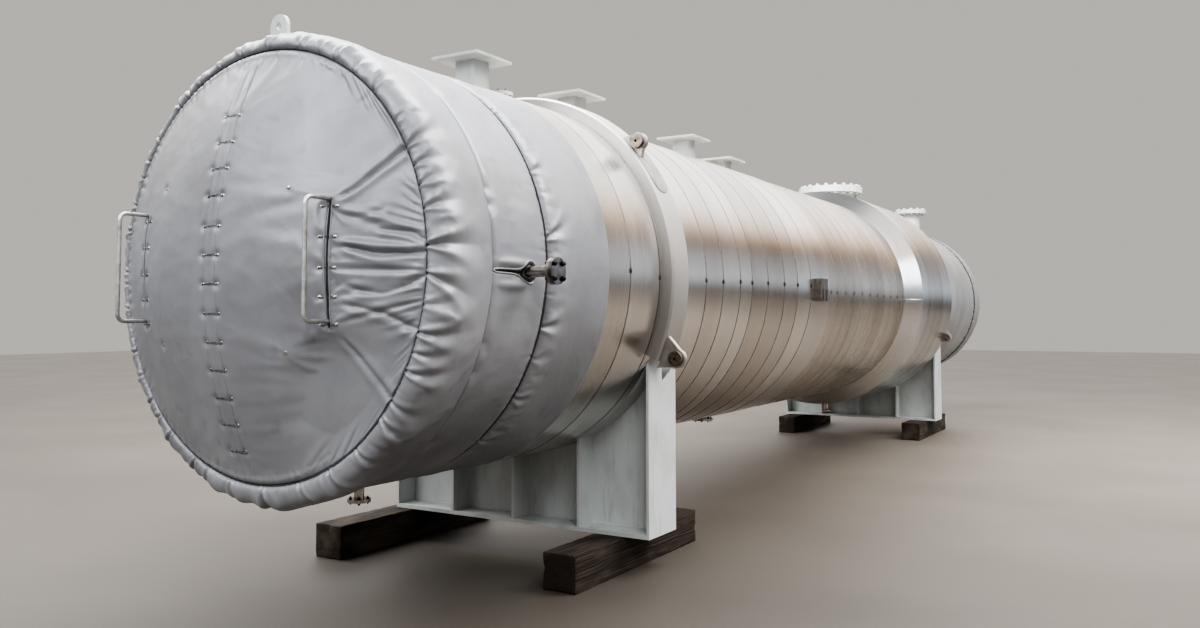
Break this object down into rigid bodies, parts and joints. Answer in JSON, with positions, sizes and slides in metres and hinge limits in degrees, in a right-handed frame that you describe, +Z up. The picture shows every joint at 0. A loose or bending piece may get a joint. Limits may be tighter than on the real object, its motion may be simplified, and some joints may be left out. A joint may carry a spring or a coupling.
{
  "type": "shell and tube heat exchanger",
  "caption": "Horizontal lagged and clad shell and tube heat exchanger with a wide rear belt, on saddles and timbers, with soft insulating covers over its ends.",
  "frame": {"origin": "middle of the ground footprint, on the vertical plane through the vessel's axis", "axes": "+Z up, +X along the vessel from the removable front cover to the rear end, +Y to the side away from the pictured one"},
  "size_m": [14.927, 2.898, 3.561],
  "materials": {
    "bare_steel": "dull mill surface",
    "blanket_cloth": "silver-grey coated glass cloth",
    "galvanised_rod": "satin zinc coat",
    "cladding_sheet": "smooth rolled sheet, slightly mirrored",
    "grey_paint": "pale grey epoxy coat",
    "timber": "dark tarred and worn"
  },
  "bodies": {
    "root": {"shell": "bare_steel", "front_cover": "bare_steel", "rear_cover": "bare_steel", "front_pad": "blanket_cloth", "front_rim_roll": "blanket_cloth", "channel_blanket": "blanket_cloth", "collar_blanket": "blanket_cloth", "cover_handles": "galvanised_rod", "lifting_lug": "galvanised_rod", "side_nozzles": "bare_steel", "side_blinds": "bare_steel", "front_cladding": "cladding_sheet", "lug_ring": "cladding_sheet", "ring_lugs": "bare_steel", "main_cladding": "cladding_sheet", "plain_cladding": "cladding_sheet", "belt_cladding": "cladding_sheet", "belt_lugs": "bare_steel", "rear_cladding": "cladding_sheet", "rear_blanket": "blanket_cloth", "rear_rim_roll": "blanket_cloth", "rear_pad": "blanket_cloth", "post_1": "grey_paint", "post_2": "grey_paint", "post_3": "grey_paint", "post_4": "grey_paint", "vent_nozzle": "grey_paint", "inlet_nozzle": "grey_paint", "inlet_cover": "grey_paint", "rear_nozzle": "grey_paint", "rear_nozzle_cover": "grey_paint", "drains": "grey_paint", "nameplate_bracket": "cladding_sheet", "front_saddle_pad": "grey_paint", "front_saddle_web": "grey_paint", "front_saddle_ribs": "grey_paint", "front_saddle_base": "grey_paint", "rear_saddle_pad": "grey_paint", "rear_saddle_web": "grey_paint", "rear_saddle_ribs": "grey_paint", "rear_saddle_base": "grey_paint", "near_front_timber": "timber", "far_front_timber": "timber", "near_rear_timber": "timber", "far_rear_timber": "timber"}
  },
  "joints": []
}
